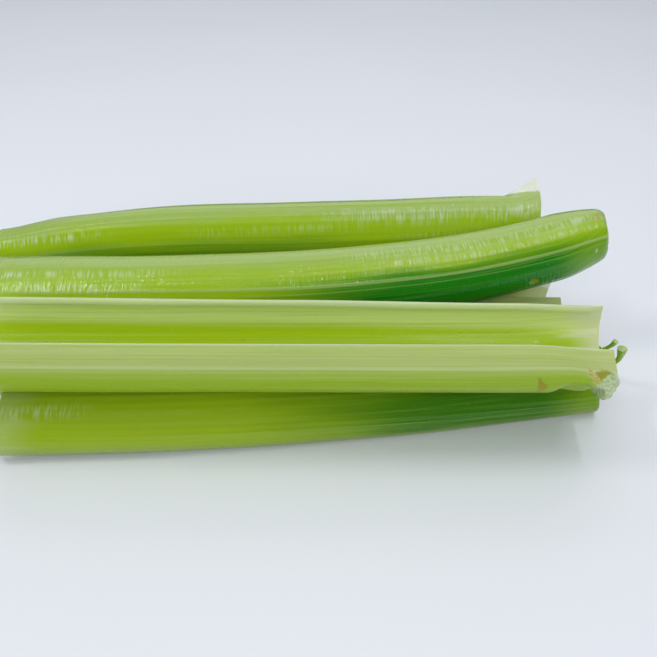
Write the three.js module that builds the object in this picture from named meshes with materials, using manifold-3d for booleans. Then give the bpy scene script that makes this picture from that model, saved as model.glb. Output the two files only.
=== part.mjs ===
// A head of celery taken apart: seven trimmed stalks heaped in two layers.
// Millimetres, +X along the stalks, +Z up. The four lower stalks lie on Z = 0 and the
// three upper ones lie in the valleys between them. Every stalk is one closed body.
import * as THREE from "three";
import { mergeVertices } from "three/addons/utils/BufferGeometryUtils.js";
import Module from "manifold-3d";

// ---- driving dimensions ------------------------------------------------------------
const RINGS = 26; // cross-sections along a stalk
const SIDE_STEPS = 15; // steps from one wing tip to the other, on each side of the wall
const TIP_CROWDING = 0.35; // how much the steps bunch up near the wing tips
const TIP_ROUNDNESS = 10; // exponent that rounds the wall off at its tips
const WALL_FALL = 1.6; // how late the wall thins from its middle towards the wings
const SLANTED_RINGS = 4; // rings that share the slant of a cut end
const PULL_FALL = 1.5; // how fast a pull fades along the outline
const STUB_SIDES = 8; // sides of a cut leaflet stem
const STUB_STEPS = 8; // rings along a cut leaflet stem

// A station along a stalk: its place from base (0) to top (1), half the width of the
// wall's middle line, how far that line dips below its widest level and rises above it,
// how many degrees it wraps each way, the wall at the middle and at the wings, and the
// way the open channel faces in degrees (0 is up, 90 is to the back, 180 is down).
const FIELDS = ["at", "halfWidth", "dip", "rise", "wrap", "wall", "wing", "opens"];

// Cuts are planes: a point on the plane, and the direction that is cut away. A pull
// draws the outline of one ring out around one of its steps: the thin sheath of a leaf
// base, or a heel where the stalk stood on the root. Stubs are cut stems of leaflets.
const STALKS = [
  {
    name: "front_stalk",
    colour: 0xa9c94e,
    spine: [[99, -1, 39.4], [55, -0.6, 39.2], [0, 0, 39], [-60, 0.8, 38.8], [-127, 2, 38.5]],
    stations: [
      [0, 18, 11, 14.5, 118, 9.4, 1.8, 4],
      [0.14, 17.8, 12, 16, 121, 8.6, 2.8, 4],
      [0.5, 17.5, 12.4, 17, 122, 8, 3.4, 1],
      [1, 17.8, 12.6, 17.8, 122, 8.2, 3.4, 0],
    ],
    cuts: [
      { point: [99, 0, 38], away: [1, -0.22, 0] },
      { point: [-127, 0, 38], away: [-1, 0.05, 0.03] },
    ],
    pulls: [
      { ring: 0, step: 4, spread: 4, reach: [5, 1, 1.2] },
      { ring: 1, step: 4, spread: 4, reach: [9, -1.2, -3.9] },
      { ring: 2, step: 4, spread: 4, reach: [11, 0, -0.3] },
      { ring: 3, step: 4, spread: 4, reach: [7, 0, 0] },
      { ring: 4, step: 4, spread: 4, reach: [3, 0, 0] },
    ],
  },
  {
    name: "curved_stalk",
    colour: 0x7fb23a,
    spine: [
      [-147, 46.5, 30.3], [-60, 48.5, 31.3], [0, 51, 33.3],
      [50, 56, 37.2], [88, 61.6, 43.4], [119.5, 66.5, 51.4],
    ],
    stations: [
      [0, 16.2, 8, 10, 104, 8.2, 1.6, 150],
      [0.15, 15, 8.8, 11.4, 114, 7.8, 3, 148],
      [0.6, 13.4, 9.6, 13, 122, 7.6, 3.6, 142],
      [0.93, 11.4, 8.8, 11.4, 128, 7.4, 4, 136],
      [1, 7.4, 5.8, 7.2, 132, 6.8, 3.8, 134],
    ],
    cuts: [
      { point: [-147, 45, 33], away: [-1, 0, 0.05] },
      { point: [119.5, 66.5, 48], away: [1, -0.1, 0.2] },
    ],
  },
  {
    name: "back_stalk",
    colour: 0x86b53c,
    spine: [[94, 89.2, 41], [40, 88.2, 39.5], [-20, 87.5, 38], [-90, 87.5, 35.6], [-153, 88.5, 29]],
    stations: [
      [0, 17.4, 9, 12.5, 106, 8.4, 1.6, 80],
      [0.15, 16.6, 10, 13.4, 115, 8, 2.8, 80],
      [0.6, 15.2, 10.6, 13.8, 121, 7.6, 3.6, 79],
      [0.85, 13.4, 10, 12.6, 123, 7.4, 3.8, 78],
      [1, 10, 8.4, 10, 124, 7, 3.8, 78],
    ],
    cuts: [
      { point: [93.2, 88, 41], away: [1, -0.06, -0.04] },
      { point: [-153, 88, 32], away: [-1, 0, 0.1] },
    ],
    pulls: [
      { ring: 0, step: 0, spread: 3, reach: [-1, 4, 7] },
      { ring: 1, step: 0, spread: 3, reach: [-4, 0.3, 0.5] },
    ],
  },
  {
    name: "lower_front_stalk",
    colour: 0x4f8a22,
    spine: [[-121, -6, 12], [-60, -3.4, 12], [0, 1.5, 12], [60, 8.6, 12], [105.4, 14.6, 12]],
    stations: [
      [0, 14.4, 7, 8.8, 104, 8, 1.8, 158],
      [0.15, 13.6, 7.8, 9.8, 112, 8, 3, 158],
      [0.6, 12.2, 7.6, 9.8, 120, 7.4, 3.4, 154],
      [1, 9, 6, 8, 124, 6.6, 3.4, 146],
    ],
    cuts: [
      { point: [-121, -5, 12], away: [-1, -0.1, 0.1] },
      { point: [105.4, 14.5, 12], away: [1, 0, 0.12] },
    ],
    onFloor: true,
  },
  {
    name: "leafy_end_stalk",
    colour: 0x6fa832,
    spine: [[-128, 24.3, 14], [-60, 26.6, 14], [0, 30.5, 14], [60, 35, 14], [112, 38.6, 14]],
    stations: [
      [0, 14.4, 7.2, 10, 104, 8, 1.8, -8],
      [0.15, 13.4, 8.2, 12, 113, 7.8, 2.8, -8],
      [0.6, 12.2, 8.8, 12.6, 120, 7.4, 3.4, -6],
      [1, 10, 8, 10.4, 124, 7, 3.6, -6],
    ],
    cuts: [
      { point: [-128, 27, 14], away: [-1, 0.05, 0] },
      { point: [112, 38, 14], away: [1, 0, 0.1] },
    ],
    stubs: [
      {
        path: [[109, 28.9, 13], [113, 28.2, 12], [117, 26, 11.5], [118.2, 25, 15], [118.2, 24.6, 19.5]],
        radii: [1.2, 1, 0.9, 1.2, 2],
      },
      {
        path: [[109.5, 29, 15.6], [112.6, 28, 17], [114.6, 26, 20.5], [115.2, 25.4, 22.4]],
        radii: [1, 0.7, 0.8, 1.2],
      },
    ],
    onFloor: true,
  },
  {
    name: "under_stalk",
    colour: 0x9cc04a,
    spine: [[104, 70, 14], [50, 69.5, 14], [0, 69, 14], [-60, 68.5, 14], [-132, 68, 14]],
    stations: [
      [0, 15.4, 10, 15.5, 112, 8.6, 1.6, 15],
      [0.15, 14.6, 10.4, 15.8, 117, 8.2, 2.8, 14],
      [0.6, 12.6, 9.4, 13.6, 120, 7.4, 3.4, 9],
      [1, 10.4, 8.2, 10.6, 124, 7, 3.6, 6],
    ],
    cuts: [
      { point: [102.6, 70, 14], away: [1, -0.05, 0.05] },
      { point: [-132, 68, 14], away: [-1, 0, 0.1] },
    ],
    pulls: [
      { ring: 0, step: SIDE_STEPS, spread: 3, reach: [5, 3, 2.5] },
      { ring: 1, step: SIDE_STEPS, spread: 3, reach: [1.8, 1, 0.9] },
    ],
    onFloor: true,
  },
  {
    name: "rear_lower_stalk",
    colour: 0x7fae3c,
    spine: [[-130, 108.5, 14], [-60, 107, 14], [0, 106, 14], [50, 106, 14], [88, 106, 14]],
    stations: [
      [0, 15.4, 9, 13, 108, 8.4, 1.8, 0],
      [0.15, 14.6, 9.8, 14.6, 116, 8, 2.8, 0],
      [0.6, 13.2, 9.8, 14, 120, 7.4, 3.4, 0],
      [1, 11.4, 9, 12, 124, 7, 3.6, 0],
    ],
    cuts: [
      { point: [-130, 108, 14], away: [-1, 0, 0.05] },
      { point: [88, 106, 14], away: [1, 0, 0.1] },
    ],
    onFloor: true,
  },
];

// ---- shape of one cross-section ----------------------------------------------------
function stepPosition(step) {
  const even = (2 * step) / SIDE_STEPS - 1;
  return (1 - TIP_CROWDING) * even + TIP_CROWDING * Math.sin((Math.PI / 2) * even);
}

// A point of the wall: position runs from one wing tip (-1) to the other (1), and side
// is 1 on the ribbed outside and -1 in the channel.
function wallPoint(shape, position, side) {
  const angle = THREE.MathUtils.degToRad(shape.wrap) * position;
  const height = Math.abs(angle) < Math.PI / 2 ? shape.dip : shape.rise;
  const outward = new THREE.Vector2(Math.sin(angle) / shape.halfWidth, -Math.cos(angle) / height);
  const wall = THREE.MathUtils.lerp(shape.wall, shape.wing, Math.abs(position) ** WALL_FALL);
  const rounding = Math.sqrt(Math.max(0, 1 - Math.abs(position) ** TIP_ROUNDNESS));
  return new THREE.Vector2(shape.halfWidth * Math.sin(angle), -height * Math.cos(angle))
    .addScaledVector(outward.normalize(), (side * wall * rounding) / 2);
}

// One wing tip, the outside, the other tip, then back along the channel.
function sectionOutline(shape) {
  const outline = [];
  for (let step = 0; step <= SIDE_STEPS; step += 1) {
    outline.push(wallPoint(shape, stepPosition(step), 1));
  }
  for (let step = SIDE_STEPS - 1; step > 0; step -= 1) {
    outline.push(wallPoint(shape, stepPosition(step), -1));
  }
  return outline;
}

// Every field of the section at one place along the stalk, smooth between stations.
function shapeAt(stations, along) {
  const shape = {};
  FIELDS.forEach((field, column) => {
    const knots = stations.map((station) => new THREE.Vector3(station[0], station[column], 0));
    const last = knots.length - 1;
    const next = Math.min(last, Math.max(1, knots.findIndex((knot) => knot.x >= along)));
    const start = knots[next - 1];
    const end = knots[next];
    const part = (along - start.x) / (end.x - start.x);
    shape[field] = THREE.MathUtils.lerp(start.y, end.y, THREE.MathUtils.smoothstep(part, 0, 1));
  });
  return shape;
}

// ---- one stalk ---------------------------------------------------------------------
function ringPoints(stalk, curve, ring) {
  const along = ring / (RINGS - 1);
  const shape = shapeAt(stalk.stations, along);
  const centre = curve.getPointAt(along);
  const tangent = curve.getTangentAt(along);
  const opens = THREE.MathUtils.degToRad(shape.opens);
  const up = new THREE.Vector3(0, Math.sin(opens), Math.cos(opens));
  up.addScaledVector(tangent, -up.dot(tangent)).normalize();
  const across = new THREE.Vector3(0, Math.cos(opens), -Math.sin(opens));
  across.addScaledVector(tangent, -across.dot(tangent)).addScaledVector(up, -across.dot(up)).normalize();
  return sectionOutline(shape).map((point) =>
    centre.clone().addScaledVector(across, point.x).addScaledVector(up, point.y));
}

// Slides the points of the end rings along the stalk onto the cut planes.
function slantEnd(rings, curve, cuts, atBase) {
  const end = atBase ? 0 : 1;
  const outward = curve.getTangentAt(end).multiplyScalar(atBase ? -1 : 1);
  const planes = cuts
    .map((cut) => ({ point: new THREE.Vector3(...cut.point), away: new THREE.Vector3(...cut.away) }))
    .filter((plane) => plane.away.dot(outward) > 0);
  const endRing = rings[atBase ? 0 : RINGS - 1];
  const slides = endRing.map((point) =>
    Math.min(...planes.map((plane) =>
      plane.point.clone().sub(point).dot(plane.away) / outward.dot(plane.away))));
  for (let step = 0; step < SLANTED_RINGS; step += 1) {
    const share = 1 - step / SLANTED_RINGS;
    rings[atBase ? step : RINGS - 1 - step].forEach((point, index) => {
      point.addScaledVector(outward, slides[index] * share);
    });
  }
}

// Draws a ring's outline out around one of its points.
function pullOutline(rings, pull) {
  const outline = rings[pull.ring];
  for (let offset = 1 - pull.spread; offset < pull.spread; offset += 1) {
    const point = outline[(pull.step + offset + outline.length) % outline.length];
    const share = (1 - Math.abs(offset) / pull.spread) ** PULL_FALL;
    point.addScaledVector(new THREE.Vector3(...pull.reach), share);
  }
}

// Triangles between neighbouring rings of a closed outline.
function sideTriangles(ringCount, outlineCount) {
  const index = [];
  for (let ring = 0; ring < ringCount - 1; ring += 1) {
    const here = ring * outlineCount;
    const there = here + outlineCount;
    for (let step = 0; step < outlineCount; step += 1) {
      const next = (step + 1) % outlineCount;
      index.push(here + step, here + next, there + next);
      index.push(here + step, there + next, there + step);
    }
  }
  return index;
}

// A cut face: a strip across the wall, from one wing tip to the other.
function cutTriangles(first, facesBack) {
  const count = 2 * SIDE_STEPS;
  const index = [];
  const add = (a, b, c) => index.push(first + a, first + (facesBack ? c : b), first + (facesBack ? b : c));
  for (let step = 0; step < SIDE_STEPS; step += 1) {
    const inner = (count - step) % count;
    if (step > 0) {
      add(step, inner, step + 1);
    }
    if (step < SIDE_STEPS - 1) {
      add(inner, inner === 0 ? count - 1 : inner - 1, step + 1);
    }
  }
  return index;
}

function closedGeometry(rings, index) {
  const geometry = new THREE.BufferGeometry();
  const positions = rings.flat().flatMap((point) => point.toArray());
  geometry.setAttribute("position", new THREE.Float32BufferAttribute(positions, 3));
  geometry.setIndex(index);
  return faceOutward(geometry);
}

function stalkGeometry(stalk) {
  const curve = new THREE.CatmullRomCurve3(stalk.spine.map((point) => new THREE.Vector3(...point)));
  const rings = [];
  for (let ring = 0; ring < RINGS; ring += 1) {
    rings.push(ringPoints(stalk, curve, ring));
  }
  slantEnd(rings, curve, stalk.cuts, true);
  slantEnd(rings, curve, stalk.cuts, false);
  for (const pull of stalk.pulls ?? []) {
    pullOutline(rings, pull);
  }
  const count = rings[0].length;
  const cuts = [...cutTriangles(0, false), ...cutTriangles((RINGS - 1) * count, true)];
  return closedGeometry(rings, [...sideTriangles(RINGS, count), ...cuts]);
}

// A cut leaflet stem: a round tube whose radius follows a list along its path.
function stubGeometry(stub) {
  const curve = new THREE.CatmullRomCurve3(stub.path.map((point) => new THREE.Vector3(...point)));
  const frames = curve.computeFrenetFrames(STUB_STEPS, false);
  const rings = [];
  for (let ring = 0; ring <= STUB_STEPS; ring += 1) {
    const place = (ring / STUB_STEPS) * (stub.radii.length - 1);
    const before = Math.min(stub.radii.length - 2, Math.floor(place));
    const radius = THREE.MathUtils.lerp(stub.radii[before], stub.radii[before + 1], place - before);
    const centre = curve.getPointAt(ring / STUB_STEPS);
    const outline = [];
    for (let side = 0; side < STUB_SIDES; side += 1) {
      const turn = (2 * Math.PI * side) / STUB_SIDES;
      outline.push(centre.clone()
        .addScaledVector(frames.normals[ring], radius * Math.cos(turn))
        .addScaledVector(frames.binormals[ring], radius * Math.sin(turn)));
    }
    rings.push(outline);
  }
  const last = STUB_STEPS * STUB_SIDES;
  const ends = [];
  for (let side = 1; side < STUB_SIDES - 1; side += 1) {
    ends.push(0, side + 1, side, last, last + side, last + side + 1);
  }
  return closedGeometry(rings, [...sideTriangles(STUB_STEPS + 1, STUB_SIDES), ...ends]);
}

// ---- solids ------------------------------------------------------------------------
const wasm = await Module();
wasm.setup();

function toSolid(geometry) {
  const merged = mergeVertices(geometry);
  return new wasm.Manifold(new wasm.Mesh({
    numProp: 3,
    vertProperties: merged.getAttribute("position").array,
    triVerts: Uint32Array.from(merged.getIndex().array),
  }));
}

function fromSolid(solid) {
  const mesh = solid.getMesh();
  const geometry = new THREE.BufferGeometry();
  geometry.setAttribute("position", new THREE.BufferAttribute(mesh.vertProperties, 3));
  geometry.setIndex(new THREE.BufferAttribute(mesh.triVerts, 1));
  return geometry;
}

function volume(geometry) {
  const position = geometry.getAttribute("position");
  const index = geometry.getIndex();
  const corner = [new THREE.Vector3(), new THREE.Vector3(), new THREE.Vector3()];
  let total = 0;
  for (let start = 0; start < index.count; start += 3) {
    corner.forEach((point, which) => point.fromBufferAttribute(position, index.getX(start + which)));
    total += corner[0].dot(corner[1].clone().cross(corner[2])) / 6;
  }
  return total;
}

function faceOutward(geometry) {
  if (volume(geometry) < 0) {
    const index = geometry.getIndex();
    for (let start = 0; start < index.count; start += 3) {
      const keep = index.getX(start + 1);
      index.setX(start + 1, index.getX(start + 2));
      index.setX(start + 2, keep);
    }
  }
  return geometry;
}

// ---- the heap ----------------------------------------------------------------------
const heap = new THREE.Group();
for (const stalk of STALKS) {
  const plain = stalkGeometry(stalk);
  plain.computeBoundingBox();
  if (stalk.onFloor) {
    plain.translate(0, 0, -plain.boundingBox.min.z);
  }
  const stems = (stalk.stubs ?? []).map((stub) => toSolid(stubGeometry(stub)));
  const whole = stems.reduce((solid, stem) => solid.add(stem), toSolid(plain));
  const geometry = stems.length ? fromSolid(whole) : plain;
  const material = new THREE.MeshStandardMaterial({ color: stalk.colour, roughness: 0.4, metalness: 0 });
  const mesh = new THREE.Mesh(geometry, material);
  mesh.name = stalk.name;
  heap.add(mesh);
}

// The origin is the middle of the heap's footprint, on the surface it lies on.
heap.updateMatrixWorld(true);
const box = new THREE.Box3().setFromObject(heap, true);
const centre = box.getCenter(new THREE.Vector3());
heap.position.set(-centre.x, -centre.y, -box.min.z);

export default heap;
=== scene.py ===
"""A head of celery, taken apart: seven trimmed stalks heaped on a pale surface.

Each stalk's fine surface is built on the rings of its own CAD node, so its size and place
are the frame's. Ribs, wing lips, cut faces, scars and sheaths are added along the rings.
Fine surfaces are worked out in mm. Everything else is in metres.
"""

import math

import bpy
import numpy as np
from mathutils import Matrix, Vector


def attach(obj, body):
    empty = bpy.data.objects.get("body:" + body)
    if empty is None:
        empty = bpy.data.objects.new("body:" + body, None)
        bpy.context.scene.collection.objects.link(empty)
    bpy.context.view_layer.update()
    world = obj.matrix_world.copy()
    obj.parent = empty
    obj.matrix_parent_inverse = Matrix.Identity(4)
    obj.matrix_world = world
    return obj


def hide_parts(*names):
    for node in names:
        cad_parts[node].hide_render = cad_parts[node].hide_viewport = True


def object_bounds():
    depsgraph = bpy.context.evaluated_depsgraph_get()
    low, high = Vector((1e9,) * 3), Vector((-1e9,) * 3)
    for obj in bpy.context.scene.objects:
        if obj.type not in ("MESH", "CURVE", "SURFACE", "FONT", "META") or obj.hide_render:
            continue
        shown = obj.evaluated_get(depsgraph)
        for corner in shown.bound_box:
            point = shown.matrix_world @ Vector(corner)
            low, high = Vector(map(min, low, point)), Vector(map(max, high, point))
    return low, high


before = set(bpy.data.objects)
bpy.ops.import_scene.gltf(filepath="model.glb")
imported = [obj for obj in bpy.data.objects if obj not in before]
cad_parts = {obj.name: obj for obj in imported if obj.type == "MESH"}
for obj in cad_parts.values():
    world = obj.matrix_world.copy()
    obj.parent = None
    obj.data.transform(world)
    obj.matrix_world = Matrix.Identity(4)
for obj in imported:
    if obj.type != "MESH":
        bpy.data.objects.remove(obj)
CAD_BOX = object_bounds()

MM = 0.001

# The rings of a CAD stalk.
SIDE_STEPS = 15  # outline steps of a ring on each side of the wall
STUB_SIDES = 8  # sides of a cut leaflet stem
CUT_NORMAL = 0.6  # a face whose normal runs further along X than this is a cut face
WELD = 2e-6  # points that agree to this many metres are one
SAME_POINT = 0.0015  # how near, in metres, a left-over point lies to where its line was heading

# Fine grid of a stalk: rows along it, steps on each side of its wall, and steps across a cut.
FINE_GRID = (430, 100, 8)
PLAIN_GRID = (300, 76, 6)  # of the stalks that lie mostly hidden
HIDDEN = {"leafy_end_stalk", "under_stalk", "rear_lower_stalk"}
END_CROWDING = 0.55  # how far the rows gather at the two ends
FLOOR_CLEAR = 0.02  # mm between the lowest points and the floor
SHARP_EDGE = math.radians(55)

# Fine grid of a cut leaflet stem, and its look.
STUB_GRID = (32, 48, 5)  # points round it, rows along it, and rows of the hollow in its cut
STUB_GROOVES = (5, 0.05)  # their number, and their depth as a share of the radius
STUB_HOLLOW = 0.5  # mm
STUB_STEP = (0.3, 0.25)  # mm of grain from one row, and from one point of a row, to the next

# Heights of the skin's relief, in mm.
FLUTE = 0.10
WAVE = 0.30
WRINKLE = 0.028
BOLD_RIB = (1.6, 0.75)  # height as a multiple of an ordinary rib's, and half width
CUT_EDGE = (0.16, 0.25)  # how far the skin falls at a cut's edge, and how fast that fades
CUT_DISH = 0.45  # how far the wall's middle sinks in a cut face
CUT_RELIEF = (0.10, 0.07)  # coarse and fine

# The front stalk's marks, in mm.
FAR_LIP = (0.8, 1.6, 1.5)  # height, distance from the wing's tip, and half width
NEAR_LIP = (0.5, 1.5, 1.4)
HEEL_LIFT = 4.5  # how far the lower skin beside the heel is drawn up
HEEL_PITS = (0.20, 0.30)  # how rough the raw heel is, and how far it lies below the skin
SCAR_PLACE = (12.2, 11.6)  # along and reach
SCAR_SIZE = (3.9, 4.2)

# Flat layout of a stalk: the tube of skin, and a strip above it for each cut.
LAYOUT_MARGIN = 0.01
LAYOUT_WIDTH = 0.98
SKIN_HEIGHT = 0.84
CUT_START = 0.87
CUT_SPACING = 0.07
CUT_HEIGHT = 0.05

# Per stalk, with places round the outside given from 0 at the first wing's tip to 1 at the
# other's, and places along it from 0 at the base to 1 at the leafy end:
#   base: which way its base points along X; first: the direction that its first wing lies in
#   ribs, depth: their number, and their height in mm; bold: the places of any bold ribs
#   band: where round the outside the crown's green turns pale; the pale band is partly
#         paler skin and partly painted sheen on the faces that look up
#   deep: where along it the deep green starts and is full, where round it that ends and is
#         full, and how strong it is; the deep green is partly the leafy end's own colour and
#         partly painted shade on the lower, turned-away side
#   worn: how far its leafy end is worn round, in mm
#   painted_glints: bands of painted highlight, where the glints of the wet, wrinkled skin
#          are painted on as pale strokes, each with its place and half width round the outside,
#          its start and end along the stalk, and its strength
STALKS = {
    "front_stalk": dict(
        base=1, first=(0, -1, 0), seed=3, skin="pale", band=(0, 1),
        ribs=26, depth=0.20, bold=(0.106, 0.894), deep=(0.0, 1.0, 0.6, 0.2, 0.0), worn=0.6,
    ),
    "curved_stalk": dict(
        base=-1, first=(0, -1, 0), seed=11, skin="green", band=(0.48, 0.68),
        ribs=24, depth=0.20, bold=(0.42,), deep=(0.36, 0.64, 0.53, 0.39, 1.0), worn=3.4,
        painted_glints=(
            (0.60, 0.035, 0.60, 1.0, 1.0), (0.52, 0.022, 0.62, 1.0, 0.8),
            (0.56, 0.03, 0.0, 0.30, 1.0), (0.45, 0.03, 0.0, 0.24, 0.9),
            (0.56, 0.03, 0.0, 0.08, 1.7), (0.45, 0.03, 0.0, 0.08, 1.7),
        ),
    ),
    "back_stalk": dict(
        base=1, first=(0, 0, 1), seed=19, skin="green", band=(0.275, 0.205),
        ribs=24, depth=0.20, bold=(), deep=(0.25, 0.50, 0.33, 0.42, 0.42), worn=1.2,
        painted_glints=(
            (0.235, 0.045, 0.0, 0.36, 1.0), (0.36, 0.02, 0.05, 0.24, 0.6),
            (0.31, 0.03, 0.30, 0.62, 0.35), (0.285, 0.03, 0.80, 1.0, 1.2),
            (0.285, 0.03, 0.92, 1.0, 1.9),
        ),
    ),
    "lower_front_stalk": dict(
        base=-1, first=(0, -1, 0), seed=29, skin="deep", band=(0.2, 0.1),
        ribs=20, depth=0.24, bold=(), deep=(0.35, 0.75, 0.9, 0.8, 0.9), worn=1.5,
        painted_glints=((0.42, 0.05, 0.0, 0.12, 0.8),),
    ),
    "leafy_end_stalk": dict(
        base=-1, first=(0, -1, 0), seed=37, skin="deep", band=(0.7, 0.9),
        ribs=18, depth=0.28, bold=(), deep=(0.3, 0.9, 0.7, 0.3, 0.8), worn=0.8,
    ),
    "under_stalk": dict(
        base=1, first=(0, 1, 0), seed=43, skin="pale", band=(0.7, 0.9),
        ribs=18, depth=0.28, bold=(), deep=(-1.0, -0.5, 0.80, 0.90, 0.85), worn=0.8,
    ),
    "rear_lower_stalk": dict(
        base=-1, first=(0, -1, 0), seed=53, skin="green", band=(0.7, 0.9),
        ribs=18, depth=0.28, bold=(), deep=(0.3, 0.9, 0.7, 0.3, 0.7), worn=0.8,
    ),
}

# What is painted on the skin, from 0 to 1, and how the materials read it: three to a vector.
PAINTED = ("scar", "nick", "sheath", "flesh", "painted_glints", "lip", "deep", "pale", "bleached", "rib")
VECTORS = {
    "grain": ("along", "reach", "inner"),
    "place": ("share", "across", "inner"),
    "cut": ("wall", "rib", "flesh"),
    "marks": ("scar", "nick", "sheath"),
    "tint": ("deep", "pale", "bleached"),
    "shine": ("painted_glints", "lip", "inner"),
}


# ---- reading the rings of a CAD node -----------------------------------------------
def welded(mesh):
    """The mesh's points with doubles joined, and its triangles."""
    mesh.calc_loop_triangles()
    points = np.zeros(len(mesh.vertices) * 3)
    mesh.vertices.foreach_get("co", points)
    points = points.reshape(-1, 3)
    corners = np.zeros(len(mesh.loop_triangles) * 3, int)
    mesh.loop_triangles.foreach_get("vertices", corners)
    cells = np.round(points / WELD).astype(np.int64)
    _, first, where = np.unique(cells, axis=0, return_index=True, return_inverse=True)
    return points[first], where.reshape(-1)[corners].reshape(-1, 3)


def edges_of(triangle):
    """The three edges of a triangle, each with its lower point first."""
    return [(min(a, b), max(a, b)) for a, b in zip(triangle, np.roll(triangle, -1))]


def edge_table(triangles):
    """{edge: its triangles}"""
    table = {}
    for index, triangle in enumerate(triangles):
        for edge in edges_of(triangle):
            table.setdefault(edge, []).append(index)
    return table


def neighbours(edges):
    """{point: the points it shares an edge with}"""
    near = {}
    for a, b in edges:
        near.setdefault(a, set()).add(b)
        near.setdefault(b, set()).add(a)
    return near


def walk(members, edges):
    """The members in order round the loop that the edges make."""
    near = {m: [] for m in members}
    for a, b in edges:
        near[a].append(b)
        near[b].append(a)
    loop = [members[0], near[members[0]][0]]
    while len(loop) < len(members):
        loop.append([n for n in near[loop[-1]] if n != loop[-2]][0])
    return loop


def ring_gap(points, ring, other):
    """How far a ring's points lie from another ring's, added up."""
    return np.linalg.norm(points[ring] - points[other], axis=1).sum()


def first_side(points, ring):
    """The length of a ring's first side, from one wing tip to the other."""
    return np.linalg.norm(np.diff(points[ring[: SIDE_STEPS + 1]], axis=0), axis=1).sum()


def follow_rings(points, edges, start):
    """Rings of the start's size, one after another along the sweep. Two neighbours on a
    ring share one point of the next ring."""
    near = neighbours(edges)
    rings, used = [start], set(start)
    while True:
        ring = rings[-1]
        beyond = set().union(*(near[m] for m in ring)) - used
        if len(beyond) != len(ring):
            return rings
        shared = [near[m] & near[ring[i - 1]] & beyond for i, m in enumerate(ring)]
        after = [s.pop() for s in shared]
        before = after[1:] + after[:1]
        rings.append(min(after, before, key=lambda found: ring_gap(points, found, ring)))
        used |= beyond


def cut_loop(points, triangles, normal, side):
    """The rim of the cut face at one end, and the points at its two wing tips."""
    middle = (points[:, 0].min() + points[:, 0].max()) / 2
    at_end = (points[triangles[:, 0], 0] - middle) * side > 0
    is_cut = at_end & (np.abs(normal[:, 0]) > CUT_NORMAL)
    if is_cut.sum() != 2 * SIDE_STEPS - 2:
        return None
    table = edge_table(triangles)
    rim = [edge for edge, found in table.items() if is_cut[found[0]] != is_cut[found[1]]]
    loop = walk(sorted({m for edge in rim for m in edge}), rim)
    rim_edges = set(rim)
    tips = []
    for triangle in triangles[is_cut]:
        own = [edge for edge in edges_of(triangle) if edge in rim_edges]
        if len(own) == 2:
            tips.append((set(own[0]) & set(own[1])).pop())
    return loop, tips


def face_normals(points, triangles):
    a, b, c = (points[triangles[:, i]] for i in range(3))
    normal = np.cross(b - a, c - a)
    return normal / np.linalg.norm(normal, axis=1, keepdims=True)


def read_stalk(node, base, first):
    """Rings (ring, outline point, xyz) from base to top, and the rings of any stubs. A ring
    starts at the first wing's tip, runs over the ribbed outside to the other tip, and comes
    back down the channel."""
    points, triangles = welded(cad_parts[node].data)
    normal = face_normals(points, triangles)
    top_end = cut_loop(points, triangles, normal, -base)
    loop, tips = top_end or cut_loop(points, triangles, normal, base)
    tip = max(tips, key=lambda m: points[m] @ np.array(first))
    at = loop.index(tip)
    loop = loop[at:] + loop[:at]
    back = [loop[0]] + loop[:0:-1]
    loop = max((loop, back), key=lambda ring: first_side(points, ring))
    edges = list(edge_table(triangles))
    rings = follow_rings(points, edges, loop)
    shape = points[np.array(rings)]
    if top_end:
        return shape[::-1], []
    used = {m for ring in rings for m in ring}
    left = np.array(sorted(set(range(len(points))) - used), int)
    return with_last_ring(shape, points[left]), read_stubs(points, triangles, edges, left, normal)


def with_last_ring(rings, left):
    """The rings with the last one added, from the points that are left at the end. A point
    that a stub has swallowed is set where its line of points was heading."""
    ahead = 2 * rings[-1] - rings[-2]
    ratio = (np.median(left[:, 0]) - rings[-1][:, 0].mean()) / (ahead - rings[-1])[:, 0].mean()
    ahead = rings[-1] + (ahead - rings[-1]) * min(ratio, 1.0)
    away = np.linalg.norm(ahead[:, None] - left[None], axis=2)
    near = away.argmin(axis=1)
    last = np.where((away.min(axis=1) < SAME_POINT)[:, None], left[near], ahead)
    return np.concatenate([rings, last[None]])


def read_stubs(points, triangles, edges, left, normal):
    """The rings of each cut leaflet stem on the stalk's end, from its cut face inwards."""
    groups = {}
    for index in np.flatnonzero(np.isin(triangles, left).all(axis=1)):
        groups.setdefault(tuple(np.round(normal[index], 2)), []).append(index)
    stubs = []
    for found in groups.values():
        rim = {m for index in found for m in triangles[index]}
        if len(found) == STUB_SIDES - 2 and len(rim) == STUB_SIDES:
            own = [e for e in edges if e[0] in rim and e[1] in rim]
            count = {e: sum(set(e) <= set(triangles[index]) for index in found) for e in own}
            loop = walk(sorted(rim), [e for e in own if count[e] == 1])
            rings = follow_rings(points, edges, loop)
            if len(rings) > 2:
                stubs.append(points[np.array(rings)])
    return stubs


# ---- smooth numbers ------------------------------------------------------------------
NOISE_CELLS = 64


def ease(low, high, x):
    """0 below low, 1 above high, and a smooth step between."""
    t = np.clip((x - low) / (high - low), 0, 1)
    return t * t * (3 - 2 * t)


def hump(x, middle, half):
    """1 at the middle, falling away smoothly on both sides."""
    return np.exp(-(((x - middle) / half) ** 2))


def noise(x, y, seed):
    """Smooth random values from -1 to 1 over the plane of x and y."""
    table = np.random.default_rng(seed).uniform(-1, 1, (NOISE_CELLS, NOISE_CELLS))
    left, low = np.floor(x).astype(int), np.floor(y).astype(int)
    fx, fy = ease(0, 1, x - left), ease(0, 1, y - low)

    def column(i):
        lower = table[(left + i) % NOISE_CELLS, low % NOISE_CELLS]
        upper = table[(left + i) % NOISE_CELLS, (low + 1) % NOISE_CELLS]
        return lower * (1 - fy) + upper * fy

    return column(0) * (1 - fx) + column(1) * fx


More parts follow.
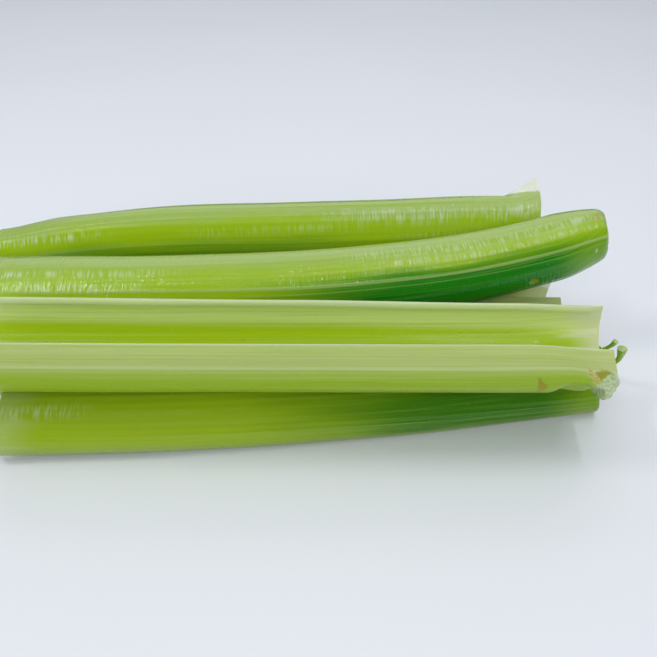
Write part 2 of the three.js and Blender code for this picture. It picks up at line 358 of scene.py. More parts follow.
def curve_through(values, at, closed):
    """The smooth curve through the values, read at fractional places along the first axis."""
    if closed:
        padded = np.concatenate([values[-1:], values, values[:2]])
    else:
        padded = np.concatenate([2 * values[:1] - values[1:2], values, 2 * values[-1:] - values[-2:-1]])
    left = np.clip(np.floor(at).astype(int), 0, len(values) - (1 if closed else 2))
    t = (at - left).reshape((-1,) + (1,) * (values.ndim - 1))
    p0, p1, p2, p3 = (padded[left + i] for i in range(4))
    bend = 2 * p0 - 5 * p1 + 4 * p2 - p3
    return 0.5 * (2 * p1 + (p2 - p0) * t + bend * t**2 + (3 * p1 - p0 - 3 * p2 + p3) * t**3)


def lengths(points, axis):
    """How far each point lies from the first one, along the axis."""
    steps = np.linalg.norm(np.diff(points, axis=axis), axis=2)
    pad = [(0, 0), (0, 0)]
    pad[axis] = (1, 0)
    return np.pad(np.cumsum(steps, axis=axis), pad)


# ---- the fine surface of a stalk -----------------------------------------------------
def fine_tube(rings, along, around):
    """A grid through the rings, read at places along them and round them."""
    tube = curve_through(rings, along, closed=False)
    return np.swapaxes(curve_through(np.swapaxes(tube, 0, 1), around, closed=True), 0, 1)


def fine_rings(rings, rows, steps):
    """The CAD rings as a fine grid, with its rows gathered towards the two ends."""
    t = np.linspace(0, 1, rows)
    t = t - END_CROWDING * np.sin(2 * math.pi * t) / (2 * math.pi)
    return fine_tube(rings, t * (len(rings) - 1), np.arange(2 * steps) / steps * SIDE_STEPS)


def grid_normals(grid):
    """The outward normal at each point of a closed tube of rings."""
    down = np.gradient(grid, axis=0)
    across = np.roll(grid, -1, axis=1) - np.roll(grid, 1, axis=1)
    normal = np.cross(across, down)
    normal /= np.maximum(np.linalg.norm(normal, axis=2, keepdims=True), 1e-12)
    middle = grid.mean(axis=1, keepdims=True)
    outside = normal[:, : grid.shape[1] // 2] * (grid - middle)[:, : grid.shape[1] // 2]
    return normal if outside.sum() > 0 else -normal


class Surface:
    """A stalk's grid with, at each point: along (mm from the base), share (0 base, 1 top),
    reach (mm from the first wing's tip, on its side of the wall), span (mm from that tip to
    the other), across (0 to 1 between them), tip (mm to the nearer one), inner (0 on the
    ribbed outside, 1 in the channel), and what is painted there."""

    def __init__(self, rings, rows, steps):
        self.grid = fine_rings(rings / MM, rows, steps)
        self.rows, self.steps = rows, steps
        self.normal = grid_normals(self.grid)
        whole = lengths(self.grid, 0)
        self.along = whole.mean(axis=1, keepdims=True) + 0 * whole
        self.length = self.along[-1, 0]
        self.share = self.along / self.length
        outer = lengths(self.grid[:, : steps + 1], 1)
        inner_points = np.concatenate([self.grid[:, :1], self.grid[:, : steps - 1 : -1]], axis=1)
        inner = lengths(inner_points, 1)
        self.reach = np.concatenate([outer, inner[:, -2:0:-1]], axis=1)
        self.span = np.concatenate(
            [outer[:, -1:] + 0 * outer, inner[:, -1:] + 0 * inner[:, 1:-1]], axis=1
        )
        self.across = self.reach / self.span
        self.tip = np.minimum(self.reach, self.span - self.reach)
        in_channel = np.arange(2 * steps) > steps
        self.inner = np.broadcast_to(in_channel.astype(float), self.across.shape)
        self.paint = {name: np.zeros_like(self.across) for name in PAINTED}

    def push(self, height):
        """Moves the surface out by a height in mm."""
        self.grid = self.grid + self.normal * height[:, :, None]


def rib_profile(surface, look):
    """The height of the ribs, 0 in a groove to 1 on a crest, over the outside."""
    dice = np.random.default_rng(look["seed"])
    widths = dice.uniform(0.7, 1.3, look["ribs"])
    edges = np.concatenate([[0], np.cumsum(widths)]) / widths.sum()
    drift = 0.006 * noise(surface.along / 60, 0 * surface.along, look["seed"] + 1)
    place = np.interp(surface.across + drift, edges, np.arange(look["ribs"] + 1))
    strength = dice.uniform(0.45, 1, look["ribs"] + 2)
    crest = (0.5 - 0.5 * np.cos(2 * math.pi * place)) ** 2.2
    height = crest * strength[np.clip(place.astype(int), 0, look["ribs"])]
    bold_height, bold_half = BOLD_RIB
    for at in look["bold"]:
        away = (surface.across + drift - at) * surface.span
        height = np.maximum(height, bold_height * hump(away, 0, bold_half))
    return height * (1 - surface.inner)


def dress(surface, look):
    """Ribs outside, shallow flutes in the channel, a slow waviness, fine cross wrinkles, and
    the worn edges of the cuts."""
    seed, along, reach, inner = look["seed"], surface.along, surface.reach, surface.inner
    side = 40 * inner  # so that the channel's noise isn't the outside's
    rib = rib_profile(surface, look)
    off_tip = ease(0.4, 3.5, surface.tip)
    growth = 0.55 + 0.45 * ease(0, 0.35, surface.share)
    ribs = look["depth"] * (rib - 0.45) * off_tip * growth * (1 - inner)
    flutes = FLUTE * noise(reach / 1.9 + side, along / 70, seed + 2) * off_tip * inner
    slow = WAVE * noise(along / 34, reach / 16 + side, seed + 3) * off_tip
    coarse = noise(along / 1.5, reach / 5 + side, seed + 4)
    fine = noise(along / 0.9, reach / 3 + side, seed + 5)
    wrinkled = ease(-0.1, 0.7, noise(along / 22, reach / 6 + side, seed + 6))
    wrinkle = WRINKLE * (coarse + 0.6 * fine) * (0.35 + 0.65 * wrinkled) * (1 - 0.6 * inner)
    fall, fade = CUT_EDGE
    rounded = -fall * np.exp(-np.minimum(along, surface.length - along) / fade)
    gone = np.clip(1 - (surface.length - along) / (1.5 * look["worn"]), 0, 1)
    worn = -look["worn"] * (1 - np.sqrt(1 - 0.98 * gone**2)) * off_tip * (1 - inner)
    surface.push(ribs + flutes + slow + wrinkle * ease(0, 2, surface.tip) + rounded + worn)
    surface.paint["rib"] = rib
    # Painted highlight: the bands where the skin's glints are painted on.
    surface.paint["painted_glints"] = painted_glints(surface, look)
    tint(surface, look)


def painted_glints(surface, look):
    """Painted highlight: bands along the stalk where the glints of the wet, wrinkled skin are painted
    on as pale strokes.
    """
    drift = 0.012 * noise(surface.along / 30, 0 * surface.along, look["seed"] + 12)
    patchy = 0.65 + 0.35 * noise(surface.along / 9, surface.reach / 4, look["seed"] + 13)
    fade = 0.06
    found = np.zeros_like(surface.across)
    for place, half, start, end, amount in look.get("painted_glints", ()):
        band = hump(surface.across + drift, place, half)
        shown = ease(start - fade, start + fade, surface.share)
        shown = shown * ease(end + fade, end - fade, surface.share)
        found = np.maximum(found, amount * band * shown * patchy)
    return found * (1 - surface.inner)


def tint(surface, look):
    """How deep green, how pale, how bleached and how white-lipped the skin is. The deep green is
    partly painted shade on the lower side; the pale bands are partly painted sheen and light.
    """
    start, full, above, below, amount = look["deep"]
    seed, inner, share, tip = look["seed"], surface.inner, surface.share, surface.tip
    pale_skin = look["skin"] == "pale"
    wander = 0.05 * noise(surface.along / 25, surface.reach / 5, seed + 8)
    across = surface.across + 0.4 * wander
    # Painted shade, in part: the deep green gathers on the lower side, where the stalk turns away from
    # the light.
    deep = amount * ease(start, full, share + wander) * ease(above, below, across) * (1 - inner)
    surface.paint["deep"] = deep * (1 - 0.45 * ease(0.88, 0.97, share))

    # Painted light, in part: outside, the pale band is paler skin plus painted sheen where faces look
    # up; inside, the pale lining near the tips is painted light on the wall facing the front, beside
    # the channel's darker, partly shaded middle.
    if pale_skin:
        outside = 0.5 * ease(9.8, 8.4, tip) + 0.5 * ease(14.5, 9, tip)
        inside = ease(12.5, 8.0, tip)
    else:
        outside = 0.85 * ease(*look["band"], across)
        inside = ease(0.55, 0.1, 2 * tip / surface.span + wander)
    surface.paint["pale"] = outside * (1 - inner) + inside * inner

    ragged = surface.along + 5 * noise(surface.along / 40, surface.reach / 1.6, seed + 9)
    surface.paint["bleached"] = np.where(
        inner > 0, 0.95 * ease(16, 4, ragged), 0.35 * ease(16, 0, ragged)
    )

    streaked = 0.5 + 0.5 * noise(surface.along / 90, surface.reach / 0.5, seed + 10)
    lip = np.maximum(ease(0.8, 0.2, tip), streaked * ease(3.2, 1.0, tip) * inner)
    if pale_skin:
        line = 2.1 + 0.5 * noise(surface.along / 60, 0 * tip, seed + 11)
        lip = np.maximum(lip, inner * ease(0.55, 0.2, np.abs(tip - line)))
    surface.paint["lip"] = lip * ease(0, 4, surface.along)


# ---- what sets one stalk apart -------------------------------------------------------
def spot(surface, along, reach, half_along, half_reach, seed, inner=0, power=2.0):
    """A ragged patch, 1 inside and 0 outside, round a place given in mm. A power below 2
    draws it in to a diamond, and below 1 to a star of four points."""
    u = (surface.along - along) / half_along
    v = (surface.reach - reach) / half_reach
    ragged = 0.10 * noise(surface.along / 0.9, surface.reach / 0.9, seed)
    away = (np.abs(u) ** power + np.abs(v) ** power) ** (1 / power) + ragged
    return ease(1.12, 0.85, away) * (surface.inner == inner)


def round_lips(surface):
    """The rounded lips inside the tips of both wings."""
    height, place, half = FAR_LIP
    lip = height * hump(surface.span - surface.reach, place, half) * surface.inner
    height, place, half = NEAR_LIP
    near_lip = height * hump(surface.reach, place, half) * surface.inner
    surface.push((lip + near_lip) * ease(0, 6, surface.along))


def slice_heel(surface, ragged):
    """The heel, sliced off slantwise: the skin ends at a line and hangs no lower before it."""
    along, reach, outer = surface.along, surface.reach, 1 - surface.inner
    x, z = surface.grid[:, :, 0], surface.grid[:, :, 2]
    lift = HEEL_LIFT * ease(93, 103, x) * ease(111.2, 109.2, x)
    z += lift * ease(15.5, 20, reach) * ease(38, 28, reach) * outer
    beyond = 0.66 * (x - 108.3) - 0.75 * (z - 37.9) + 0.35 * ragged
    low_side = x - 107.0 - 0.4 * np.maximum(34.9 - z, 0)
    flesh = ease(0, 0.5, beyond) * ease(0, 0.5, low_side) * ease(34, 31, reach) * outer
    rough, sunk = HEEL_PITS
    surface.push((rough * noise(along / 0.7, reach / 0.9, 73) - sunk) * flesh)
    surface.paint["flesh"] = flesh


def mark_front(surface):
    """The front stalk: its lips, its heel, the tan crescent scar with the olive hollow beside
    it, a nick in the outside and a speck in the channel."""
    round_lips(surface)
    ragged = noise(surface.along / 1.1, surface.reach / 1.1, 71)
    slice_heel(surface, ragged)
    skin, outer = 1 - surface.paint["flesh"], 1 - surface.inner

    off_along = (surface.along - SCAR_PLACE[0]) / SCAR_SIZE[0]
    off_reach = (surface.reach - SCAR_PLACE[1]) / SCAR_SIZE[1]
    round_scar = np.hypot(off_along, off_reach) + 0.06 * ragged
    crescent = hump(round_scar, 0.95, 0.14) * ease(12.6, 11.0, surface.along)
    blush = 0.55 * ease(1.0, 0.6, round_scar) * ease(15, 10.5, surface.along)
    hollow = spot(surface, 5.8, 9.9, 4.8, 2.5, 77, power=1.4) * ease(0.98, 1.08, round_scar)
    nick = spot(surface, 30.8, 17.0, 1.5, 6.2, 79, power=0.9)
    speck = spot(surface, 131.8, surface.span[0, -1] - 11.5, 0.35, 0.35, 81, inner=1)
    surface.paint["scar"] = np.maximum(crescent, blush) * skin * outer
    surface.paint["nick"] = np.maximum(0.85 * hollow, np.maximum(nick, 0.8 * speck)) * skin
    surface.push((0.25 * crescent - 0.45 * hollow) * skin * outer - 0.30 * nick)


def mark_sheath(surface):
    """The thin torn sheath drawn out of the first wing's tip at the base."""
    ragged = 0.6 * noise(surface.along / 1.2, surface.reach / 1.2, 87)
    torn = ease(13.0, 11.5, surface.along + 1.5 * surface.tip + ragged)
    surface.paint["sheath"] = torn * (surface.reach < surface.span / 2)


def mark_curved(surface):
    """The curved stalk: a scar, a notch and two painted glints, bright specks of highlight, near its
    leafy end.
    """
    end = surface.length
    scar = spot(surface, end - 5.0, 31.0, 1.3, 1.8, 91)
    notch = spot(surface, 231.0, 15.0, 2.6, 1.5, 92, power=1.4)
    surface.paint["scar"] = 0.8 * scar
    surface.paint["nick"] = 0.8 * notch
    # Painted highlight: two glints on the wet skin, laid into the lip mask and painted in its whitish
    # colour.
    for along, reach in ((end - 6.5, 27.2), (end - 8.4, 18.1)):
        speck = spot(surface, along, reach, 0.6, 0.5, 93)
        surface.paint["lip"] = np.maximum(surface.paint["lip"], speck)
    surface.push(-0.15 * scar - 0.5 * notch)


MARKS = {
    "front_stalk": mark_front,
    "curved_stalk": mark_curved,
    "back_stalk": mark_sheath,
    "under_stalk": mark_sheath,
}


# ---- a stalk's mesh --------------------------------------------------------------------
def skin_patch(surface):
    """The tube of rings: its points, values to paint, faces and flat layout."""
    rows, around = surface.rows, 2 * surface.steps
    r, a = np.meshgrid(np.arange(rows - 1), np.arange(around), indexing="ij")
    after = (a + 1) % around
    corners = [r * around + a, r * around + after, (r + 1) * around + after, (r + 1) * around + a]
    faces = np.stack(corners, axis=2).reshape(-1, 4).tolist()
    columns = [
        np.stack([
            LAYOUT_MARGIN + LAYOUT_WIDTH * x / around,
            LAYOUT_MARGIN + SKIN_HEIGHT * surface.share[:, 0][y],
        ], axis=-1)
        for x, y in zip((a, a + 1, a + 1, a), (r, r, r + 1, r + 1))
    ]
    values = {
        **surface.paint, "along": surface.along, "reach": surface.reach, "share": surface.share,
        "across": surface.across, "inner": surface.inner, "wall": surface.inner,
    }
    return surface.grid, values, faces, np.stack(columns, axis=2).reshape(-1, 2)


def cut_patch(surface, row, cells, first):
    """The cut face on the first or the last row: a dished strip across the wall, whose own
    points are numbered from first on."""
    steps, around, end = surface.steps, 2 * surface.steps, int(row > 0)
    ring = surface.grid[row]
    outer = np.arange(steps + 1)
    inner = (around - outer) % around
    t = (np.arange(1, cells) / cells)[None, :, None]
    points = ring[outer[1:-1], None] * (1 - t) + ring[inner[1:-1], None] * t
    outward = ring.mean(axis=0) - surface.grid[abs(row - 4)].mean(axis=0)
    outward /= np.linalg.norm(outward)
    depth = np.broadcast_to(t[:, :, 0], points.shape[:2])
    place = surface.reach[row, 1:steps, None] + 0 * depth
    coarse, fine = CUT_RELIEF
    relief = coarse * noise(place / 1.2, depth * 6, end + 61)
    relief = relief + fine * noise(place / 0.5, depth * 12, end + 67)
    dish = -CUT_DISH * np.sin(math.pi * depth) ** 0.7
    points = points + outward * (relief + dish)[:, :, None]

    values = {name: 0 * depth for name in (*PAINTED, "inner")}
    for name, value in (
        ("rib", surface.paint["rib"]), ("across", surface.across), ("along", surface.along)
    ):
        values[name] = value[row, 1:steps, None] + 0 * depth
    values.update(share=end + 0 * depth, reach=place, wall=depth)

    index = np.zeros((steps + 1, cells + 1), int)
    index[:, 0] = row * around + outer
    index[:, -1] = row * around + inner
    index[1:-1, 1:-1] = first + np.arange(depth.size).reshape(depth.shape)
    index[0, :] = index[0, 0]
    index[-1, :] = index[-1, 0]
    faces, layout = [], []
    for i in range(steps):
        for j in range(cells):
            corners = [(i, j), (i, j + 1), (i + 1, j + 1), (i + 1, j)]
            kept = [c for k, c in enumerate(corners) if index[c] != index[corners[k - 1]]]
            if end:
                kept = kept[::-1]
            faces.append([int(index[corner]) for corner in kept])
            layout += [
                (
                    LAYOUT_MARGIN + LAYOUT_WIDTH * across / steps,
                    CUT_START + CUT_SPACING * end + CUT_HEIGHT * through / cells,
                )
                for across, through in kept
            ]
    return points, values, faces, np.array(layout)


def add_vectors(mesh, vectors):
    """Stores three numbers a point under each name, for the materials to read."""
    for name, columns in vectors.items():
        made = mesh.attributes.new(name, "FLOAT_VECTOR", "POINT")
        made.data.foreach_set("vector", np.stack(columns, axis=-1).astype(np.float32).ravel())


def smooth_object(name, mesh, materials):
    mesh.polygons.foreach_set("use_smooth", np.ones(len(mesh.polygons), bool))
    for material in materials:
        mesh.materials.append(material)
    mesh.update()
    piece = bpy.data.objects.new(name, mesh)
    bpy.context.scene.collection.objects.link(piece)
    return piece


def stalk_object(name, surface, cells, materials):
    """The closed mesh of a stalk: its skin, its base cut and its leafy cut."""
    patches = [skin_patch(surface)]
    count = surface.grid[:, :, 0].size
    for row in (0, surface.rows - 1):
        patches.append(cut_patch(surface, row, cells, count))
        count += patches[-1][0][:, :, 0].size
    points = np.concatenate([patch[0].reshape(-1, 3) for patch in patches])
    points[:, 2] = np.maximum(points[:, 2], FLOOR_CLEAR)
    faces = [face for patch in patches for face in patch[2]]
    is_cut = np.concatenate([np.full(len(patch[2]), k > 0) for k, patch in enumerate(patches)])
    mesh = bpy.data.meshes.new(name)
    mesh.from_pydata((points * MM).tolist(), [], faces)
    mesh.polygons.foreach_set("material_index", is_cut.astype(np.int32))
    add_vectors(mesh, {
        key: [np.concatenate([patch[1][part].reshape(-1) for patch in patches]) for part in parts]
        for key, parts in VECTORS.items()
    })
    layout = np.concatenate([patch[3] for patch in patches])
    layer = mesh.uv_layers.new(name="OFBake")
    layer.uv.foreach_set("vector", layout.astype(np.float32).ravel())
    piece = smooth_object(name, mesh, materials)
    mesh.set_sharp_from_angle(angle=SHARP_EDGE)
    return piece


def stub_object(name, rings, materials):
    """A cut leaflet stem: a fine grooved tube from the stalk's end to its hollowed cut."""
    sides, rows, closing = STUB_GRID
    round_it = np.arange(sides) / sides
    grid = fine_tube(rings / MM, np.linspace(0, len(rings) - 1, rows), round_it * rings.shape[1])
    middle = grid.mean(axis=1, keepdims=True)
    number, depth = STUB_GROOVES
    grooves = 1 + depth * np.cos(round_it * 2 * math.pi * number)[None, :, None]
    grid = middle + (grid - middle) * grooves
    rim = grid[:1] - middle[:1]
    into = (middle[1] - middle[0]) / np.linalg.norm(middle[1] - middle[0])
    hollow = [
        middle[:1] + rim * (1 - (k / closing) ** 2) + into * STUB_HOLLOW * (k / closing)
        for k in range(closing, 0, -1)
    ]
    grid = np.concatenate([*hollow, grid])
    count = len(grid)
    faces = [
        (r * sides + a, r * sides + after, (r + 1) * sides + after, (r + 1) * sides + a)
        for r in range(count - 1)
        for a, after in zip(range(sides), [*range(1, sides), 0])
    ]
    faces += [tuple(range(sides))[::-1], tuple((count - 1) * sides + a for a in range(sides))]
    mesh = bpy.data.meshes.new(name)
    mesh.from_pydata((grid.reshape(-1, 3) * MM).tolist(), [], faces)

    step_along, step_round = STUB_STEP
    zero = np.zeros((count, sides))
    along = np.arange(count)[:, None] * step_along + zero
    reach = np.arange(sides) * step_round + zero
    raw = np.where(along < closing * step_along, 0.7, 0.0)
    values = {name: zero for name in (*PAINTED, "inner", "wall")}
    values.update(along=along, reach=reach, share=zero + 0.8, across=zero + 0.5, flesh=raw)
    values.update(deep=zero + 0.35)
    add_vectors(mesh, {key: [values[part] for part in parts] for key, parts in VECTORS.items()})
    return smooth_object(name, mesh, materials)


# ---- materials -------------------------------------------------------------------------
class Nodes:
    """A material's node tree, written as short calls."""

    def __init__(self, name):
        self.material = bpy.data.materials.new(name)
        self.material.use_nodes = True
        self.tree = self.material.node_tree
        self.tree.nodes.clear()

    def add(self, kind, inputs=None, **values):
        node = self.tree.nodes.new(kind)
        for key, value in values.items():
            setattr(node, key, value)
        for key, value in (inputs or {}).items():
            socket = node.inputs[key]
            if isinstance(value, bpy.types.NodeSocket):
                self.tree.links.new(value, socket)
            else:
                socket.default_value = value
        return node

    def attribute(self, name):
        return self.add("ShaderNodeAttribute", attribute_name=name).outputs["Vector"]

    def read(self, name):
        """The three numbers of a vector attribute."""
        parts = self.add("ShaderNodeSeparateXYZ", {0: self.attribute(name)})
        return parts.outputs[0], parts.outputs[1], parts.outputs[2]

    def math(self, operation, a, b=0.0, c=0.0):
        return self.add("ShaderNodeMath", {0: a, 1: b, 2: c}, operation=operation).outputs[0]

    def times(self, a, b):
        return self.math("MULTIPLY", a, b)

    def step(self, value, low, high, start=0.0, end=1.0):
        """start below low, end above high, and smooth between."""
        node = self.add(
            "ShaderNodeMapRange",
            {"Value": value, "From Min": low, "From Max": high, "To Min": start, "To Max": end},
            interpolation_type="SMOOTHSTEP",
        )
        return node.outputs[0]

    def mix(self, share, a, b):
        """Colour a, turning to colour b as the share goes from 0 to 1."""
        node = self.add("ShaderNodeMix", data_type="RGBA")
        for index, value in ((0, share), (6, a), (7, b)):
            if isinstance(value, bpy.types.NodeSocket):
                self.tree.links.new(value, node.inputs[index])
            else:
                node.inputs[index].default_value = value if index == 0 else (*value, 1.0)
        return node.outputs[2]

    def noise(self, vector, scale, detail=2.0, rough=0.5):
        """Noise over a vector stretched by a scale for each direction."""
        placed = self.add("ShaderNodeVectorMath", {0: vector, 1: scale}, operation="MULTIPLY")
        node = self.add(
            "ShaderNodeTexNoise",
            {"Vector": placed.outputs[0], "Scale": 1.0, "Detail": detail, "Roughness": rough},
        )
        return node.outputs["Fac"]

    def bump(self, height, distance, strength, normal=None):
        inputs = {"Height": height, "Distance": distance, "Strength": strength}
        if normal is not None:
            inputs["Normal"] = normal
        return self.add("ShaderNodeBump", inputs).outputs["Normal"]

    def principled(self, **inputs):
        """The finished material, with a Principled shader whose sockets have these values."""
        named = {key.replace("_", " "): value for key, value in inputs.items()}
        shader = self.add("ShaderNodeBsdfPrincipled", named)
        self.add("ShaderNodeOutputMaterial", {"Surface": shader.outputs[0]})
        return self.material


# wing: the pale bands outside, partly paler skin and partly painted sheen where faces look up;
# lining: near the tips inside, partly painted light on the wall that faces the front; crown: the
# middle of the outside; deep: the deep green of the leafy end, partly painted shade on the lower
# side; channel: the middle of the inside, partly painted shade in the hollow; base: near the
# root; crest: on a rib; wet: how glossy the skin is.
SKINS = {
    "pale": dict(
        wing=(0.39, 0.475, 0.15), lining=(0.55, 0.66, 0.21), crown=(0.27, 0.42, 0.003),
        deep=(0.02, 0.20, 0.003), channel=(0.345, 0.50, 0.001), base=(0.53, 0.58, 0.30),
        crest=(0.48, 0.55, 0.24), wet=0.25,
    ),
    "green": dict(
        wing=(0.32, 0.445, 0.12), lining=(0.32, 0.445, 0.12), crown=(0.305, 0.47, 0.002),
        deep=(0.004, 0.19, 0.002), channel=(0.32, 0.46, 0.02), base=(0.45, 0.53, 0.25),
        crest=(0.37, 0.48, 0.15), wet=1.0,
    ),
    "deep": dict(
        wing=(0.27, 0.37, 0.07), lining=(0.30, 0.42, 0.08), crown=(0.28, 0.41, 0.007),
        deep=(0.015, 0.15, 0.003), channel=(0.28, 0.42, 0.02), base=(0.45, 0.53, 0.25),
        crest=(0.30, 0.40, 0.08), wet=0.7,
    ),
}
# The whitish lip at the wings' tips. The same colour paints the curved stalk's two glint specks, a
# painted highlight.
LIP_AND_GLINT_WHITE = (0.56, 0.62, 0.44)
# Painted highlight: the colour of the glints painted on the wrinkled wet skin.
PAINTED_GLINT_WHITE = (0.68, 0.75, 0.66)
OLIVE = (0.29, 0.28, 0.006)
TAN = ((0.36, 0.25, 0.08), (0.58, 0.49, 0.22))
SHEATH = ((0.62, 0.66, 0.50), (0.78, 0.79, 0.72))
RAW_HEEL = ((0.34, 0.45, 0.17), (0.56, 0.62, 0.42))
CUT_FLESH = ((0.46, 0.55, 0.24), (0.66, 0.72, 0.46))
CUT_RIM = (0.20, 0.38, 0.04)
CUT_STRING = (0.24, 0.40, 0.06)
TABLE = ((0.755, 0.775, 0.82), (0.775, 0.795, 0.835))


def striped_colour(n, skin, grain, strings):
    """Pale wings, partly painted sheen, a saturated crown that turns deep green, partly painted
    shade, and the channel, with ribs and hair-fine strings along them."""
    _, _, inner = n.read("place")
    _, rib, _ = n.read("cut")
    deep, pale, bleached = n.read("tint")
    crown = n.mix(deep, skin["crown"], skin["deep"])
    outside = n.mix(pale, crown, skin["wing"])
    channel = n.mix(pale, skin["channel"], skin["lining"])
    colour = n.mix(inner, outside, channel)

    colour = n.mix(n.times(n.step(rib, 0.45, 1.3), 0.65), colour, skin["crest"])
    shown = n.math("MULTIPLY_ADD", pale, 0.25, 0.22)
    colour = n.mix(n.times(n.step(strings, 0.53, 0.64), shown), colour, skin["crest"])
    colour = n.mix(n.times(n.step(strings, 0.47, 0.36), 0.45), colour, crown)
    bands = n.noise(grain, (0.006, 0.45, 23.0))
    colour = n.mix(n.times(n.step(bands, 0.5, 0.75), 0.16), colour, skin["crest"])
    return n.mix(bleached, colour, skin["base"])


def marked_colour(n, skin, grain, crinkles, colour):
    """The whitish lip, painted glints (pale strokes on the crinkles, and bright specks), freckles,
    tan scars, olive nicks, the torn sheath and the raw heel, over a colour."""
    _, _, flesh = n.read("cut")
    scar, nick, sheath = n.read("marks")
    glint_band, lip, _ = n.read("shine")
    # The whitish lip, with the curved stalk's painted glint specks in the same mask.
    colour = n.mix(n.times(lip, 0.7), colour, LIP_AND_GLINT_WHITE)
    # Painted highlight: pale glint strokes along the crinkles, inside the painted bands.
    glint_stroke = n.times(n.step(crinkles, 0.44, 0.60), n.times(glint_band, 0.50))
    colour = n.mix(glint_stroke, colour, PAINTED_GLINT_WHITE)
    freckle = n.noise(grain, (0.55, 0.9, 31.0), 1.0)
    colour = n.mix(n.times(n.step(freckle, 0.68, 0.76), 0.15), colour, skin["crest"])

    mottle = n.noise(grain, (0.55, 0.7, 5.0))
    colour = n.mix(scar, colour, n.mix(n.step(mottle, 0.35, 0.65), *TAN))
    colour = n.mix(nick, colour, OLIVE)
    colour = n.mix(sheath, colour, n.mix(mottle, *SHEATH))
    return n.mix(flesh, colour, n.mix(n.step(mottle, 0.3, 0.7), *RAW_HEEL))


def skin_material(name, skin):
    """Moist ribbed skin, with crinkles across it that show most in the wet coat."""
    n = Nodes(name)
    grain = n.attribute("grain")
    _, _, inner = n.read("place")
    strings = n.noise(grain, (0.007, 1.15, 11.0), 4.0, 0.7)
    crinkles = n.noise(grain, (0.95, 0.13, 41.0), 1.0)
    fine = n.noise(grain, (1.9, 0.3, 17.0), 1.0)
    cross = n.math("ADD", crinkles, n.times(fine, 0.35))
    cross = n.times(cross, n.math("MULTIPLY_ADD", inner, -0.8, 1.0))
    colour = marked_colour(n, skin, grain, crinkles, striped_colour(n, skin, grain, strings))
    return n.principled(
        Base_Color=colour,
        Roughness=n.step(n.noise(grain, (0.09, 0.12, 9.0)), 0.3, 0.7, 0.34, 0.46),
        Normal=n.bump(cross, 0.00010, 0.5, n.bump(strings, 0.00008, 0.5)),
        IOR=1.42, Specular_IOR_Level=0.2,
        Subsurface_Weight=0.35, Subsurface_Radius=(0.7, 1.0, 0.15), Subsurface_Scale=0.0015,
        Coat_Weight=skin["wet"], Coat_Roughness=0.09, Coat_IOR=1.4,
        Coat_Normal=n.bump(cross, 0.0004, 1.0),
    )


def flesh_material(name):
    """A cut face: pale wet flesh, green under the skin, with a string end under each rib."""
    n = Nodes(name)
    wall, rib, _ = n.read("cut")
    share, across, _ = n.read("place")
    spots = n.add("ShaderNodeCombineXYZ", {0: across, 1: wall, 2: share}).outputs[0]
    mottle = n.noise(spots, (160.0, 14.0, 3.0), 3.0, 0.6)
    colour = n.mix(n.step(mottle, 0.35, 0.65), *CUT_FLESH)
    rim = n.math("MAXIMUM", n.step(wall, 0.14, 0.0), n.step(wall, 0.88, 1.0))
    colour = n.mix(n.times(rim, 0.8), colour, CUT_RIM)
    under_skin = n.times(n.step(wall, 0.10, 0.2), n.step(wall, 0.42, 0.3))
    colour = n.mix(n.times(n.step(rib, 0.55, 0.9), under_skin), colour, CUT_STRING)
    return n.principled(
        Base_Color=colour, Roughness=0.42, Normal=n.bump(mottle, 0.0002, 0.7), IOR=1.4,
        Subsurface_Weight=0.4, Subsurface_Radius=(0.8, 1.0, 0.4), Subsurface_Scale=0.003,
        Coat_Weight=0.3, Coat_Roughness=0.25,
    )


def table_material(name):
    """A pale matt surface, faintly clouded."""
    n = Nodes(name)
    place = n.add("ShaderNodeNewGeometry").outputs["Position"]
    cloud = n.noise(place, (3.0, 3.0, 3.0))
    grit = n.noise(place, (400.0, 400.0, 400.0), 1.0)
    return n.principled(
        Base_Color=n.mix(n.step(cloud, 0.3, 0.7), *TABLE), Roughness=0.5,
        Normal=n.bump(grit, 0.0001, 0.2), IOR=1.3,
    )


# ---- the stalks ------------------------------------------------------------------------
cut_flesh = flesh_material("cut_flesh")
skin_materials = {kind: skin_material(f"{kind}_skin", skin) for kind, skin in SKINS.items()}

for node, look in STALKS.items():
    rings, stubs = read_stalk(node, look["base"], look["first"])
    rows, steps, cells = PLAIN_GRID if node in HIDDEN else FINE_GRID
    surface = Surface(rings, rows, steps)
    dress(surface, look)
    if node in MARKS:
        MARKS[node](surface)
    materials = [skin_materials[look["skin"]], cut_flesh]
    pieces = [stalk_object(f"{node}_fine", surface, cells, materials)]
    for number, stub in enumerate(stubs, 1):
        pieces.append(stub_object(f"leaflet_stub_{number}", stub, [skin_materials["green"]]))
    for piece in pieces:
        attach(piece, "root")
        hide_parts(node)


# ---- floor, light and camera -----------------------------------------------------------
FLOOR_HALF = 6.0
WORLD_COLOUR = (0.80, 0.84, 0.92, 1)
WORLD_STRENGTH = 0.34
CAMERA_PLACE = (0.0171, -0.2679, 0.1854)
CAMERA_PITCH = math.radians(57)
CAMERA_LENS = 39.8

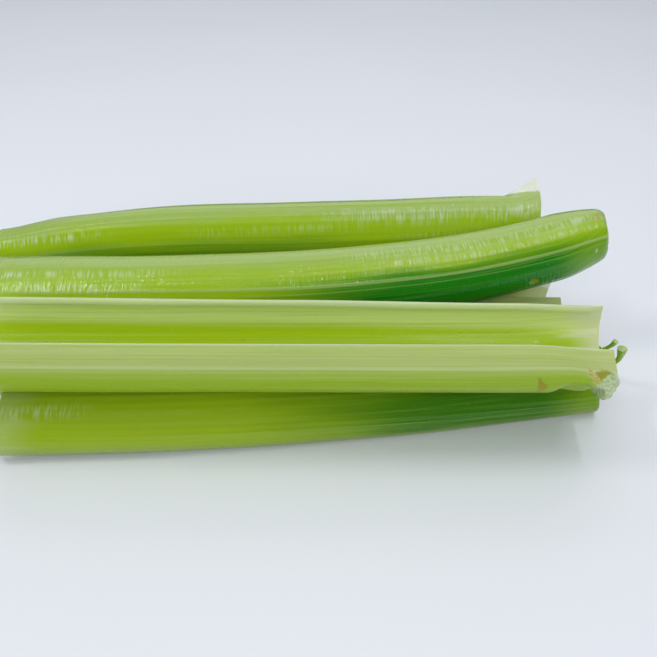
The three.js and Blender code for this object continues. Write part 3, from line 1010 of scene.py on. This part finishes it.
# Each light's name, place from the heap's middle, size, power, colour, and whether it shines
# in gloss. All of them aim at the middle.
LIGHTS = (
    ("overhead_softbox", (0.0, 0.3, 1.4), (1.8, 1.4), 4, (0.97, 0.98, 1.0), False),
    ("front_softbox", (0.1, -2.4, 1.5), (2.4, 1.6), 40, (0.98, 0.99, 1.0), False),
    ("back_softbox", (0.0, 1.5, 1.1), (2.6, 1.4), 10, (0.92, 0.96, 1.0), True),
    ("right_strip", (0.30, -0.05, 1.2), (0.60, 0.05), 1.7, (1.0, 1.0, 1.0), True),
    ("right_low_strip", (0.35, -0.45, 1.1), (0.60, 0.04), 1.3, (1.0, 1.0, 1.0), True),
    ("left_window", (-0.75, -0.05, 1.0), (0.34, 0.14), 2.6, (1.0, 1.0, 1.0), True),
)


def lay_floor():
    mesh = bpy.data.meshes.new("floor")
    corners = [(x * FLOOR_HALF, y * FLOOR_HALF, 0) for x, y in ((-1, -1), (1, -1), (1, 1), (-1, 1))]
    mesh.from_pydata(corners, [], [(0, 1, 2, 3)])
    mesh.materials.append(table_material("table_top"))
    floor = bpy.data.objects.new("floor", mesh)
    bpy.context.scene.collection.objects.link(floor)


def hang_light(name, place, aim, size, power, colour, gloss):
    light = bpy.data.lights.new(name, "AREA")
    light.shape = "RECTANGLE"
    light.size, light.size_y = size
    light.energy = power
    light.color = colour
    holder = bpy.data.objects.new(name, light)
    holder.location = place
    holder.rotation_euler = (aim - place).to_track_quat("-Z", "Y").to_euler()
    holder.visible_camera = False
    holder.visible_glossy = gloss
    bpy.context.scene.collection.objects.link(holder)


def light_world():
    """A pale surrounding light that shows in no reflection."""
    world = bpy.data.worlds.new("studio")
    bpy.context.scene.world = world
    world.use_nodes = True
    background = world.node_tree.nodes["Background"]
    background.inputs["Color"].default_value = WORLD_COLOUR
    background.inputs["Strength"].default_value = WORLD_STRENGTH
    world.cycles_visibility.glossy = False


def place_camera():
    data = bpy.data.cameras.new("camera")
    data.lens = CAMERA_LENS
    data.clip_start = 0.01
    camera = bpy.data.objects.new("camera", data)
    camera.location = CAMERA_PLACE
    camera.rotation_euler = (CAMERA_PITCH, 0, 0)
    bpy.context.scene.collection.objects.link(camera)
    bpy.context.scene.camera = camera
    bpy.context.scene.view_settings.view_transform = "Standard"


lay_floor()
heap_middle = (Vector(CAD_BOX[0]) + Vector(CAD_BOX[1])) / 2
for name, offset, size, power, colour, gloss in LIGHTS:
    hang_light(name, heap_middle + Vector(offset), heap_middle, size, power, colour, gloss)
light_world()
place_camera()
